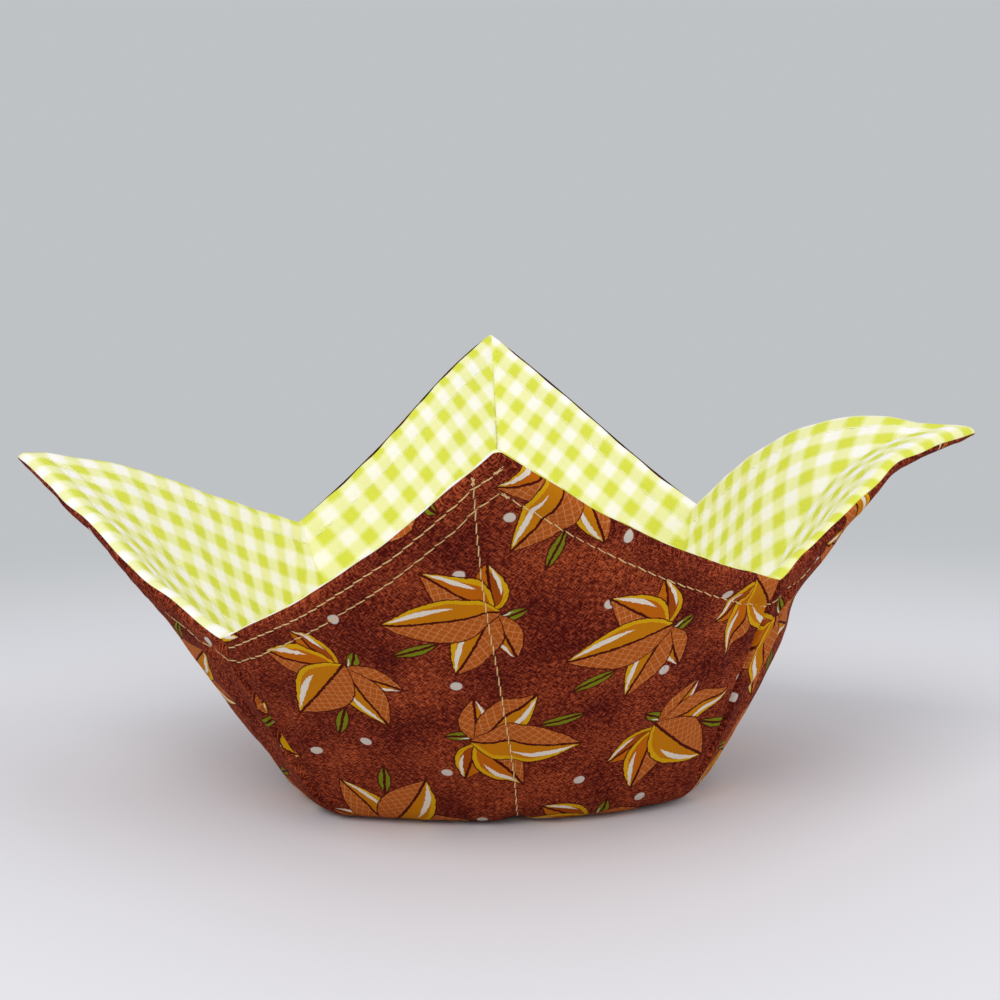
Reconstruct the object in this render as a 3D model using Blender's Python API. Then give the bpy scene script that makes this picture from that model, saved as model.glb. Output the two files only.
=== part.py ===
"""Fabric bowl cozy: two quilted cotton squares, darted at the middle of each side, joined and turned.

The cozy is cut flat. Each square loses a wedge at the middle of its four sides, which turns it into a
shallow dish with four upright corner flaps. Everything is placed by its point on that flat pattern and by
its height through the thickness, and one function folds the pattern up. Metres, +Z up, front flap to -Y.
"""
import math

import bmesh
import bpy
from mathutils import Vector

# The flat pattern
SQUARE_SIDE = 0.2413        # finished side, seam allowance taken off a 10 inch square
CORNER_CLIP = 0.0026        # how much of each corner's point the turning rounds away
DART_LENGTH = 0.0564        # from the square's side in towards the middle
DART_HALF_WIDTH = 0.0203    # half of the wedge that the dart takes up at the side

# The layers, each from the middle of the thickness outwards
FABRIC = 0.00045            # woven cotton
BATTING = 0.0016            # cotton batting, one sheet behind each fabric
CLEARANCE = 0.0003          # between layers that lie on each other
EDGE_ROLL = 0.0036          # width of the rolled edge, where the batting stops short of the seam

# The sewing
THREAD_RADIUS = 0.00020     # lockstitch row, drawn as one thread
TOPSTITCH_INSET = 0.0078    # row round the whole edge
CLOSING_END_GAP = 0.008     # the row that closes the turning gap stops this short of corner and dart
QUILT_END_GAP = 0.012       # how far from its corner each diagonal quilting row starts
QUILT_CHANNEL = 0.0060      # half width of the channel that a quilting row pulls in
QUILT_SQUEEZE = 0.70        # share of the batting's height that is lost along the row

# The folding
GRID = 14                   # cells along the square's side
FOLD_STEPS = 24             # short steps along the cloth from the crease to a point
FILLET = 0.014              # length over which the base turns up into the wall
FILLET_LEAD = 0.15          # share of the fillet that lies before the crease
MIDDLE_BY = 0.60            # share of the wall by which it has come to its middle slope
EDGE_FROM = 0.55            # share of the wall from which it turns towards the slope of its edge
BASE_X = 0.0035             # the base's middle, so that the box round the flaps is centred on the origin
BASE_Y = 0.0080

# Each flap, by the line to its corner, and each dart: where the base turns up, the slope of the wall in
# degrees low down, half way up and at the edge, and how far the cloth swings round the middle by then. A
# flap's hollows are the degrees of slope that it loses half way to the dart before it and after it.
FRONT_FLAP = {"crease": 0.0480, "low": 51.5, "middle": 56.0, "edge": 46.0, "swing": -3.0,
              "hollow_before": 2.5, "hollow_after": -2.0}
RIGHT_FLAP = {"crease": 0.0445, "low": 68.0, "middle": 60.0, "edge": 2.0, "swing": -3.0,
              "hollow_before": 1.5, "hollow_after": -8.0}
BACK_FLAP = {"crease": 0.0350, "low": 63.0, "middle": 57.5, "edge": 55.0, "swing": 1.0,
             "hollow_before": -4.0, "hollow_after": -7.0}
LEFT_FLAP = {"crease": 0.0515, "low": 65.5, "middle": 52.0, "edge": 23.5, "swing": -1.0,
             "hollow_before": -3.0, "hollow_after": 2.0}
FRONT_RIGHT_DART = {"crease": 0.0515, "low": 58.0, "middle": 66.0, "edge": 59.0, "swing": -3.5}
BACK_RIGHT_DART = {"crease": 0.0530, "low": 64.0, "middle": 69.0, "edge": 70.0, "swing": -1.0}
BACK_LEFT_DART = {"crease": 0.0545, "low": 62.0, "middle": 65.5, "edge": 66.0, "swing": 0.5}
FRONT_LEFT_DART = {"crease": 0.0585, "low": 57.0, "middle": 56.0, "edge": 54.5, "swing": 3.0}
RIBS = (FRONT_FLAP, FRONT_RIGHT_DART, RIGHT_FLAP, BACK_RIGHT_DART,
        BACK_FLAP, BACK_LEFT_DART, LEFT_FLAP, FRONT_LEFT_DART)

# Worked out from the sizes above
HALF = SQUARE_SIDE / 2
DART_POINT = HALF - DART_LENGTH                     # distance of a dart's inner end from the middle
CORNER_REACH = HALF * math.sqrt(2)
DART_REACH = math.hypot(HALF, DART_HALF_WIDTH)      # distance of a closed dart's outer end from the middle
BATTING_IN = CLEARANCE / 2
FABRIC_OUT = BATTING_IN + BATTING + CLEARANCE + FABRIC
QUILT_REACH = HALF - QUILT_END_GAP / math.sqrt(2)

# Working distances
NUDGE = 0.0004              # between the points that give the folded cloth's normal
ON_LINE = 0.00001           # a point this close to a line lies on it
MERGE = 0.00005             # points this close are one
SHARP_ANGLE = 50            # degrees

COLLECTION = "microwave_bowl_cozy"
PRINT_MAROON = (0.125, 0.022, 0.015, 1.0)
LINING_LIME = (0.72, 0.85, 0.20, 1.0)
COTTON_WHITE = (0.82, 0.78, 0.68, 1.0)
THREAD_GOLD = (0.62, 0.42, 0.16, 1.0)
THREAD_WHITE = (0.80, 0.78, 0.62, 1.0)
CLOTH_ROUGHNESS = 0.85
BATTING_ROUGHNESS = 0.95
THREAD_ROUGHNESS = 0.6


def clear_scene():
    for item in list(bpy.data.objects):
        bpy.data.objects.remove(item, do_unlink=True)
    for group in list(bpy.data.collections):
        bpy.data.collections.remove(group)


def ease(x):
    """0 to 1 with level ends."""
    x = min(max(x, 0.0), 1.0)
    return x * x * (3 - 2 * x)


def wall_slope(rib, out, wall):
    """Slope of the wall, in degrees, at this distance along the cloth past the rib's crease."""
    slope = rib["low"] + (rib["middle"] - rib["low"]) * ease(out / (MIDDLE_BY * wall))
    slope += (rib["edge"] - rib["middle"]) * ease((out / wall - EDGE_FROM) / (1 - EDGE_FROM))
    return slope * ease(out / FILLET + FILLET_LEAD)


def fold(x, y):
    """A point of the flat pattern to its place on the folded middle surface.

    The pattern's corners lie along -Y, +X, +Y and -X. Cloth keeps its length along each line from the
    middle, and the lines close up sideways over the darts.
    """
    far = math.hypot(x, y)
    bearing = math.degrees(math.atan2(x, -y))
    flap = round(bearing / 90)
    aside = bearing - 90 * flap
    side = 1 if aside >= 0 else -1
    closed = min(max((far - DART_POINT) / (DART_REACH - DART_POINT), 0.0), 1.0)
    taken = math.degrees(math.atan2(closed * DART_HALF_WIDTH, DART_POINT + closed * DART_LENGTH))
    share = min(abs(aside) / (45 - taken), 1.0)
    to_dart = share ** 2
    corner_rib = RIBS[(2 * flap) % 8]
    dart_rib = RIBS[(2 * flap + side) % 8]
    hollow = corner_rib["hollow_after" if side > 0 else "hollow_before"] * 4 * share * (1 - share)

    def mixed(corner_value, dart_value):
        return corner_value * (1 - to_dart) + dart_value * to_dart

    crease = mixed(corner_rib["crease"], dart_rib["crease"])
    past = max(far - crease, 0.0)
    corner_wall = CORNER_REACH - crease
    dart_wall = DART_REACH - crease
    step = past / FOLD_STEPS
    run = min(far, crease)
    rise = 0.0
    for i in range(FOLD_STEPS):
        out = (i + 0.5) * step
        slope = mixed(wall_slope(corner_rib, out, corner_wall), wall_slope(dart_rib, out, dart_wall))
        slope = math.radians(slope - hollow * ease(out / FILLET))
        run += step * math.cos(slope)
        rise += step * math.sin(slope)
    swing = mixed(corner_rib["swing"], dart_rib["swing"]) * ease(past / corner_wall)
    turn = math.radians(90 * flap + 45 * share * side + swing)
    return Vector((BASE_X + run * math.sin(turn), BASE_Y - run * math.cos(turn), FABRIC_OUT + rise))


def close_dart(a, b):
    """Square coordinates, +-HALF along the sides, to the flat pattern with the dart wedges left out."""
    big = max(abs(a), abs(b))
    wedge = DART_HALF_WIDTH * min(max((big - DART_POINT) / DART_LENGTH, 0.0), 1.0)
    small = wedge + (big - wedge) * min(abs(a), abs(b)) / max(big, ON_LINE)
    if abs(a) >= abs(b):
        b = math.copysign(small, b)
    else:
        a = math.copysign(small, a)
    return (a - b) / math.sqrt(2), (a + b) / math.sqrt(2)


def folded(a, b):
    """Square coordinates to the folded middle surface, and its outward normal."""
    along_a = fold(*close_dart(a + NUDGE, b)) - fold(*close_dart(a - NUDGE, b))
    along_b = fold(*close_dart(a, b + NUDGE)) - fold(*close_dart(a, b - NUDGE))
    return fold(*close_dart(a, b)), along_b.cross(along_a).normalized()


def from_edge(a, b):
    """Distance of a square point from the sewn edge, rounded corners counted."""
    corner = CORNER_REACH - CORNER_CLIP - (abs(a) + abs(b)) / math.sqrt(2)
    return min(HALF - abs(a), HALF - abs(b), corner)


def loft(a, b):
    """Share of the batting's full height that is left at a square point, under the two quilting rows."""
    left = 1.0
    for aside in (abs(a - b), abs(a + b)):
        left *= 1 - QUILT_SQUEEZE * max(0.0, 1 - aside / math.sqrt(2) / QUILT_CHANNEL)
    return left


def batting_back(a, b):
    return BATTING_IN


def batting_top(a, b):
    return BATTING_IN + BATTING * loft(a, b)


def fabric_back(a, b):
    """Height of the fabric's hidden face, which rolls in to the middle at the sewn edge."""
    roll = min(max(from_edge(a, b) / EDGE_ROLL, 0.0), 1.0)
    return BATTING_IN + (BATTING * loft(a, b) + CLEARANCE) * roll


def fabric_face(a, b):
    return fabric_back(a, b) + FABRIC


def pattern_sheet():
    """The flat square in square coordinates, cut along every row so that an edge runs under each thread."""
    sheet = bmesh.new()
    bmesh.ops.create_grid(sheet, x_segments=GRID, y_segments=GRID, size=HALF)

    def cut(distance, direction, trim=False):
        geometry = sheet.verts[:] + sheet.edges[:] + sheet.faces[:]
        bmesh.ops.bisect_plane(sheet, geom=geometry, dist=ON_LINE / 10, plane_co=direction * distance,
                               plane_no=direction, clear_outer=trim)

    for direction in (Vector((1, 0, 0)), Vector((-1, 0, 0)), Vector((0, 1, 0)), Vector((0, -1, 0))):
        cut(HALF - EDGE_ROLL, direction)
        cut(HALF - TOPSTITCH_INSET, direction)
    for direction in (Vector((1, 1, 0)), Vector((1, -1, 0)), Vector((-1, 1, 0)), Vector((-1, -1, 0))):
        direction.normalize()
        cut(CORNER_REACH - CORNER_CLIP, direction, trim=True)
        cut(CORNER_REACH - CORNER_CLIP - EDGE_ROLL, direction)
        cut(QUILT_CHANNEL, direction)
    cut(0.0, Vector((1, 1, 0)).normalized())
    cut(0.0, Vector((1, -1, 0)).normalized())
    bmesh.ops.remove_doubles(sheet, verts=sheet.verts[:], dist=MERGE)
    bmesh.ops.dissolve_degenerate(sheet, edges=sheet.edges[:], dist=MERGE)
    bmesh.ops.triangulate(sheet, faces=sheet.faces[:])
    return sheet


def material(name, colour, roughness):
    finish = bpy.data.materials.new(name + "_finish")
    finish.use_nodes = True
    finish.diffuse_color = colour
    surface = finish.node_tree.nodes["Principled BSDF"]
    surface.inputs["Base Color"].default_value = colour
    surface.inputs["Roughness"].default_value = roughness
    return finish


def add_object(group, name, data, colour, roughness):
    item = bpy.data.objects.new(name, data)
    data.materials.append(material(name, colour, roughness))
    group.objects.link(item)
    return item


def add_layer(group, name, back, face, side, inset, colour, roughness):
    """One layer: a closed body between two heights, on the outer side (1) or the lining side (-1)."""
    layer = pattern_sheet()
    lost = [f for f in layer.faces if from_edge(*f.calc_center_median().xy) < inset]
    bmesh.ops.delete(layer, geom=lost, context="FACES")
    bottom = bmesh.ops.duplicate(layer, geom=layer.verts[:] + layer.edges[:] + layer.faces[:])["geom"]
    bottom_verts = [g for g in bottom if isinstance(g, bmesh.types.BMVert)]
    bottom_faces = [g for g in bottom if isinstance(g, bmesh.types.BMFace)]
    under = set(bottom_verts)
    rims = [e for e in layer.edges if e.is_boundary]
    bmesh.ops.reverse_faces(layer, faces=bottom_faces)
    bmesh.ops.bridge_loops(layer, edges=rims)
    for vert in layer.verts:
        a, b = vert.co.xy
        height = back(a, b) if vert in under else face(a, b)
        place, outward = folded(a, b)
        vert.co = place + outward * height * side
    bmesh.ops.recalc_face_normals(layer, faces=layer.faces[:])
    mesh = bpy.data.meshes.new(name)
    layer.to_mesh(mesh)
    layer.free()
    mesh.shade_smooth()
    mesh.set_sharp_from_angle(angle=math.radians(SHARP_ANGLE))
    return add_object(group, name, mesh, colour, roughness)


def add_thread(group, name, route, side, closed, crosses, colour):
    """One sewn row: a thread that lies on the fabric's face and passes over the row that it crosses."""
    curve = bpy.data.curves.new(name, "CURVE")
    curve.dimensions = "3D"
    curve.bevel_depth = THREAD_RADIUS
    curve.bevel_resolution = 1
    curve.use_fill_caps = True
    row = curve.splines.new("POLY")
    row.points.add(len(route) - 1)
    for point, (a, b) in zip(row.points, route):
        place, outward = folded(a, b)
        height = fabric_face(a, b) + CLEARANCE + THREAD_RADIUS
        if crosses(a, b):
            height += 2 * THREAD_RADIUS + CLEARANCE
        point.co = (place + outward * height * side).to_4d()
    row.use_cyclic_u = closed
    return add_object(group, name, curve, colour, THREAD_ROUGHNESS)


def row_points(on_row, order):
    """The sheet's own points along a row, in order, so that a thread bends where the cloth does."""
    sheet = pattern_sheet()
    points = [tuple(v.co.xy) for v in sheet.verts if on_row(*v.co.xy)]
    sheet.free()
    return sorted(points, key=order)


def on_topstitch(a, b):
    return abs(max(abs(a), abs(b)) - (HALF - TOPSTITCH_INSET)) < ON_LINE


def on_closing_row(a, b):
    """Along the front flap's left edge, between its corner and the front left dart."""
    return abs(a + HALF - EDGE_ROLL) < ON_LINE and CLOSING_END_GAP - HALF < b < -CLOSING_END_GAP


def on_quilting(a, b):
    return abs(abs(a) - abs(b)) < ON_LINE


def at_middle(a, b):
    return max(abs(a), abs(b)) < ON_LINE


def nowhere(a, b):
    return False


def build():
    clear_scene()
    group = bpy.data.collections.new(COLLECTION)
    bpy.context.scene.collection.children.link(group)

    for face, side, colour in (("outer", 1, PRINT_MAROON), ("lining", -1, LINING_LIME)):
        add_layer(group, face + "_fabric", fabric_back, fabric_face, side, 0.0, colour, CLOTH_ROUGHNESS)
        add_layer(group, face + "_batting", batting_back, batting_top, side, EDGE_ROLL,
                  COTTON_WHITE, BATTING_ROUGHNESS)

    topstitch = row_points(on_topstitch, lambda p: math.atan2(p[1], p[0]))
    closing = row_points(on_closing_row, lambda p: p[1])
    front_to_back = row_points(lambda a, b: abs(a - b) < ON_LINE and abs(a) < QUILT_REACH, lambda p: p[0])
    left_to_right = row_points(lambda a, b: abs(a + b) < ON_LINE and abs(a) < QUILT_REACH, lambda p: p[0])
    for face, side, colour in (("outer", 1, THREAD_GOLD), ("lining", -1, THREAD_WHITE)):
        add_thread(group, face + "_topstitch", topstitch, side, True, on_quilting, colour)
        add_thread(group, face + "_closing_stitch", closing, side, False, nowhere, colour)
        add_thread(group, face + "_quilting_front_to_back", front_to_back, side, False, nowhere, colour)
        add_thread(group, face + "_quilting_left_to_right", left_to_right, side, False, at_middle, colour)


build()
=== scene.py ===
import bmesh
import bpy
import math
import numpy as np
from mathutils import Matrix, Vector


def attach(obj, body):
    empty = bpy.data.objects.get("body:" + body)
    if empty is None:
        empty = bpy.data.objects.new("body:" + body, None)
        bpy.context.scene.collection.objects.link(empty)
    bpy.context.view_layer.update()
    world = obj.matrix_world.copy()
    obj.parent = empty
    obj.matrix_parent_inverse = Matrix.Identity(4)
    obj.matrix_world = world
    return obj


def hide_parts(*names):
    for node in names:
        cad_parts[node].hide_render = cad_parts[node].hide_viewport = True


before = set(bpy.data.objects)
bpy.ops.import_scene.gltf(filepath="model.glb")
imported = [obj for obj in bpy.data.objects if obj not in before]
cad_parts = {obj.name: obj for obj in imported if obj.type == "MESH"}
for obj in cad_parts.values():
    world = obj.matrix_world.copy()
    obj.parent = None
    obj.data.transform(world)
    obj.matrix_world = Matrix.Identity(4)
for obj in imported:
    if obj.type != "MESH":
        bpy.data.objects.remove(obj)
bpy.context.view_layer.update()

# The printed outer square: quilting cotton, cut 10 inches square and sewn at a quarter inch. Four darts at
# the middle of its sides turn it into a dish, whose corners stand up as flaps. It is sewn to the lining round
# its whole edge, right sides together, and turned, so the edge is a soft roll with the seam in its middle.
SQUARE_SIDE = 0.2413
CORNER_ROUND = 0.0020       # turning leaves the corner a little round
DART_LENGTH = 0.0564
DART_HALF_WIDTH = 0.0203    # at the square's edge
FABRIC = 0.00045
PAD = 0.0019                # one batting with its slack
SEAM_GAP = 0.00012          # from the middle of the thickness to a fabric's turned edge
EDGE_ROLL = 0.0046          # how far in from the edge the cloth reaches its full thickness
TOPSTITCH_INSET = 0.0075
CLOSING_INSET = 0.0029
CLOTH_CELLS = 192
FILLET = 0.014              # length over which the cloth turns up at the crease
FILLET_LEAD = 0.15          # share of that turn already made at the crease
MIDDLE_BY = 0.60            # share of the wall by which it has its middle slope
EDGE_FROM = 0.55            # share of the wall from which it turns to its edge slope
FOLD_STEPS = 24             # steps in which a point's way up the wall is added up
FOLD_NUDGE = 0.0004         # how far apart places are read to find which way the cloth faces
BASE_X = 0.0035             # where the square's middle stands
BASE_Y = 0.0080
PAD_MIDDLE = 0.0025         # height of the pad's middle surface above the ground
# The eight ribs that the fold is made from, at the flaps' corners and at the darts. Each has its crease's
# distance from the square's middle, the wall's slope low down, half way up and at the edge, and the rib's
# swing sideways, in degrees. A flap also has how far the wall leans out on its way to the darts beside it.
FRONT_FLAP = {"crease": 0.0480, "low": 51.5, "middle": 56.0, "edge": 46.0, "swing": -3.0,
              "hollow_before": 2.5, "hollow_after": -2.0}
RIGHT_FLAP = {"crease": 0.0445, "low": 68.0, "middle": 60.0, "edge": 2.0, "swing": -3.0,
              "hollow_before": 1.5, "hollow_after": -8.0}
BACK_FLAP = {"crease": 0.0350, "low": 63.0, "middle": 57.5, "edge": 55.0, "swing": 1.0,
             "hollow_before": -4.0, "hollow_after": -7.0}
LEFT_FLAP = {"crease": 0.0515, "low": 65.5, "middle": 52.0, "edge": 23.5, "swing": -1.0,
             "hollow_before": -3.0, "hollow_after": 2.0}
FRONT_RIGHT_DART = {"crease": 0.0515, "low": 58.0, "middle": 66.0, "edge": 59.0, "swing": -3.5}
BACK_RIGHT_DART = {"crease": 0.0530, "low": 64.0, "middle": 69.0, "edge": 70.0, "swing": -1.0}
BACK_LEFT_DART = {"crease": 0.0545, "low": 62.0, "middle": 65.5, "edge": 66.0, "swing": 0.5}
FRONT_LEFT_DART = {"crease": 0.0585, "low": 57.0, "middle": 56.0, "edge": 54.5, "swing": 3.0}
RIBS = (FRONT_FLAP, FRONT_RIGHT_DART, RIGHT_FLAP, BACK_RIGHT_DART,
        BACK_FLAP, BACK_LEFT_DART, LEFT_FLAP, FRONT_LEFT_DART)

HALF = SQUARE_SIDE / 2
DART_POINT = HALF - DART_LENGTH
CORNER_REACH = HALF * math.sqrt(2)
DART_REACH = math.hypot(HALF, DART_HALF_WIDTH)


def ease(x):
    """Smooth step from 0 to 1."""
    x = np.clip(x, 0.0, 1.0)
    return x * x * (3 - 2 * x)


def rib_value(key, which):
    """One value of the ribs with these numbers."""
    return np.array([rib.get(key, 0.0) for rib in RIBS])[which]


def wall_slope(which, out, wall):
    """Slope of the wall at this distance along the cloth past the crease, in degrees."""
    low = rib_value("low", which)
    middle = rib_value("middle", which)
    slope = low + (middle - low) * ease(out / (MIDDLE_BY * wall))
    slope = slope + (rib_value("edge", which) - middle) * ease((out / wall - EDGE_FROM) / (1 - EDGE_FROM))
    return slope * ease(out / FILLET + FILLET_LEAD)


def fold(x, y):
    """Points of the flat pattern, its corners along -Y, +X, +Y and -X, to the folded middle surface."""
    far = np.hypot(x, y)
    bearing = np.degrees(np.arctan2(x, -y))
    flap = np.round(bearing / 90).astype(int)
    aside = bearing - 90 * flap
    side = np.where(aside >= 0, 1, -1)
    # Share of the way from the flap's corner line to the dart, whose closed part leaves less cloth out here
    closed = np.clip((far - DART_POINT) / (DART_REACH - DART_POINT), 0, 1)
    taken = np.degrees(np.arctan2(closed * DART_HALF_WIDTH, DART_POINT + closed * DART_LENGTH))
    share = np.minimum(np.abs(aside) / (45 - taken), 1)
    to_dart = share ** 2
    corner = (2 * flap) % 8
    dart = (2 * flap + side) % 8
    hollow = np.where(side > 0, rib_value("hollow_after", corner), rib_value("hollow_before", corner))
    hollow = hollow * 4 * share * (1 - share)
    crease = rib_value("crease", corner) * (1 - to_dart) + rib_value("crease", dart) * to_dart
    # From the crease the point goes up the wall in short steps
    past = np.maximum(far - crease, 0)
    run = np.minimum(far, crease)
    rise = np.zeros_like(far)
    step = past / FOLD_STEPS
    for i in range(FOLD_STEPS):
        out = (i + 0.5) * step
        slope = wall_slope(corner, out, CORNER_REACH - crease) * (1 - to_dart)
        slope = slope + wall_slope(dart, out, DART_REACH - crease) * to_dart
        slope = np.radians(slope - hollow * ease(out / FILLET))
        run = run + step * np.cos(slope)
        rise = rise + step * np.sin(slope)
    swing = rib_value("swing", corner) * (1 - to_dart) + rib_value("swing", dart) * to_dart
    turn = np.radians(90 * flap + 45 * share * side + swing * ease(past / (CORNER_REACH - crease)))
    return np.stack([BASE_X + run * np.sin(turn), BASE_Y - run * np.cos(turn), PAD_MIDDLE + rise], axis=-1)


def dart_wedge(big):
    """Half the width that the dart takes up, this far from the square's middle."""
    return DART_HALF_WIDTH * np.clip((big - DART_POINT) / DART_LENGTH, 0, 1)


def cut_flat(a, b):
    """Square coordinates, which close over the darts, to where the point lies on the flat cut cloth."""
    big = np.maximum(np.abs(a), np.abs(b))
    wedge = dart_wedge(big)
    small = wedge + (big - wedge) * np.minimum(np.abs(a), np.abs(b)) / np.maximum(big, 1e-6)
    wide = np.abs(a) >= np.abs(b)
    return np.where(wide, a, np.copysign(small, a)), np.where(wide, np.copysign(small, b), b)


def fold_square(a, b):
    """Square coordinates to the folded middle surface."""
    flat_a, flat_b = cut_flat(a, b)
    return fold((flat_a - flat_b) / math.sqrt(2), (flat_a + flat_b) / math.sqrt(2))


def from_edge(a, b):
    """Distance in from the square's edge, which is round at its corners."""
    inner = HALF - CORNER_ROUND
    over_a = np.maximum(np.abs(a) - inner, 0)
    over_b = np.maximum(np.abs(b) - inner, 0)
    at_corner = (over_a > 0) & (over_b > 0)
    straight = HALF - np.maximum(np.abs(a), np.abs(b))
    return np.where(at_corner, CORNER_ROUND - np.hypot(over_a, over_b), straight)


def ripples(a, b, length, seed):
    """Smooth wandering waves of about this wavelength, from -1 to 1, the same each run."""
    draw = np.random.default_rng(seed)
    total = np.zeros_like(a)
    waves = 9
    for _ in range(waves):
        heading = draw.uniform(0, math.pi)
        stretch = draw.uniform(0.7, 1.5)
        turns = 2 * math.pi * stretch / length
        total += np.sin(turns * (a * math.cos(heading) + b * math.sin(heading)) + draw.uniform(0, 6.28))
    return total / waves * 1.6      # nine waves seldom meet, so this brings them up to about 1


EDGE_WAVE = 0.0004          # how far the edges wander off the smooth fold
EDGE_WAVE_LENGTH = 0.026
EDGE_WAVE_REACH = 0.020     # how far in from the edge they do
FLAP_WAVE = 0.0005          # the same for the walls and flaps
FLAP_WAVE_LENGTH = 0.048
FLAP_WAVE_FROM = 0.075      # this far from the square's middle it starts
FLAP_WAVE_GROWTH = 0.04     # and over this length it grows to its full height
VALLEY_ROLL = 0.0015        # how far the lining rolls over the edge at the darts
VALLEY_REACH = 0.016        # how far along the edge it does
FRONT_ROLL = 0.0003
BACK_ROLL = -0.0007         # on the back flap the outer fabric rolls in instead

# Places where the cloth is drawn off the even fold: a square place, how far round it, and the move there
DRAWN = (
    ((-HALF, -HALF), 0.045, (0.00120, 0.0, 0.00125)),           # the front flap's point, up and to the right
    ((0.030, -0.076), 0.036, (0.00130, -0.0004, -0.0008)),      # the right wall swells low down
    ((-0.080, 0.032), 0.036, (-0.00170, -0.0006, -0.0010)),     # and the left wall a little more
    ((0.028, -0.100), 0.014, (-0.00120, 0.0004, 0.0003)),       # a crease where the right flap starts
    ((0.040, -0.096), 0.014, (-0.00170, 0.0004, 0.0003)),
    ((0.051, -0.090), 0.014, (-0.00150, 0.0004, 0.0003)),
    ((0.061, -0.083), 0.014, (-0.00110, 0.0004, 0.0003)),
    ((HALF, -HALF + 0.012), 0.013, (0.0, 0.0, -0.0013)),        # the right flap's lip
    ((0.080, -HALF), 0.026, (-0.0005, 0.0, 0.0005)),            # its lower edge, drawn up
)


def shaped(a, b):
    """The folded square, drawn a little at the places above."""
    place = fold_square(a, b)
    for (at_a, at_b), reach, move in DRAWN:
        place = place + ease(1 - np.hypot(a - at_a, b - at_b) / reach)[..., None] * np.array(move)
    return place


LINING_DRAWN_IN = 0.0006    # on the back flap a little of the outer fabric shows past the lining's edge
DRAWN_IN_GROWTH = 0.020     # length over which that grows from the darts
DRAWN_IN_WAVE = 0.022       # length of the waves along that edge
TIP_KEPT = 0.006            # the flap's very tip stays where it is
TIP_GROWTH = 0.010


def drawn_in(a, b):
    """Square coordinates of the lining, drawn in by more and by less along the back flap."""
    off_tip = np.hypot(a - HALF, b - HALF) - TIP_KEPT
    on_flap = ease(np.minimum(a, b) / DRAWN_IN_GROWTH) * ease(off_tip / TIP_GROWTH)
    shrink = 1 - LINING_DRAWN_IN / HALF * on_flap * (0.8 + 0.5 * ripples(a, b, DRAWN_IN_WAVE, 9))
    return a * shrink, b * shrink


# Sewn rows, as distances beside them in the cloth. The front to back quilting row starts beside the front
# corner and runs in to the corner line.
ROW_START_ASIDE = 0.0064
ROW_MEETS_CORNER_LINE = 0.140
CLOSING_PRESS_START = 0.004     # from the front corner


def row_aside(t):
    """How far the front to back row lies left of the corner line, t from the front corner along it."""
    return ROW_START_ASIDE * (1 - ease(t / ROW_MEETS_CORNER_LINE))


def beside_quilting(a, b):
    along = (a + b) / math.sqrt(2) + CORNER_REACH
    front_to_back = np.abs((a - b) / math.sqrt(2) + row_aside(along))
    left_to_right = np.abs(a + b) / math.sqrt(2)
    return np.minimum(front_to_back, left_to_right)


def beside_topstitch(a, b):
    return np.abs(np.maximum(np.abs(a), np.abs(b)) - (HALF - TOPSTITCH_INSET))


def beside_closing(a, b):
    past_ends = np.maximum(np.maximum(b, -b - HALF + CLOSING_PRESS_START), 0)
    return np.hypot(a + HALF - CLOSING_INSET, past_ends)


def beside_dart(a, b):
    big = np.maximum(np.abs(a), np.abs(b))
    across = (big - dart_wedge(big)) * np.minimum(np.abs(a), np.abs(b)) / np.maximum(big, 1e-6)
    return np.hypot(across, np.maximum(DART_POINT - big, 0))


def channel(aside, half_width):
    """1 on a row, falling to 0 this far beside it."""
    return 1 - ease(aside / half_width)


def seam_shift(a, b):
    """How far the seam rolls from the middle of the thickness towards the outside, at the sewn edge."""
    to_valley = np.minimum(np.abs(a), np.abs(b))
    rim = FRONT_ROLL + (BACK_ROLL - FRONT_ROLL) * ease((a + b) / HALF)
    return rim + VALLEY_ROLL * (1 - ease(to_valley / VALLEY_REACH))


# How much each sewn row presses the pad, and how far beside the row; the lining shows it less
TOPSTITCH_PRESS = (0.36, 0.0030)
CLOSING_PRESS = (0.28, 0.0024)
QUILTING_PRESS = (0.56, 0.0048)
DART_PRESS = (0.88, 0.0015)
LINING_SHARE = 0.35
PUCKER = 0.00010            # height of the puckers along the rows
# How far apart the puckers are, over what length that varies, and how far beside the row they reach
TOPSTITCH_PUCKERS = (0.0062, 0.030, 0.0075)
QUILTING_PUCKERS = (0.0075, 0.035, 0.009)
PUCKER_DRIFT = 3            # how far they stray from even spacing, in radians
PUFF = 0.00024              # unevenness of the padding between the rows
PUFF_LENGTHS = (0.024, 0.009)
PUFF_GAP = 0.005            # it starts this far from a row
DRAG = 0.00060              # height of the wrinkles that fan out beside the darts
DRAG_SPACING = 0.017
DRAG_SLANT = 0.0035
DRAG_DRIFT = 2
DRAG_DRIFT_LENGTH = 0.05
DRAG_MIDDLE = 0.011         # middle of their strip, from the dart's line
DRAG_HALF_WIDTH = 0.012
DRAG_FROM_EDGE = 0.008      # they grow over this length from the edge
DRAG_FADE = 0.030           # and die away over this one, as far in again


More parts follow.
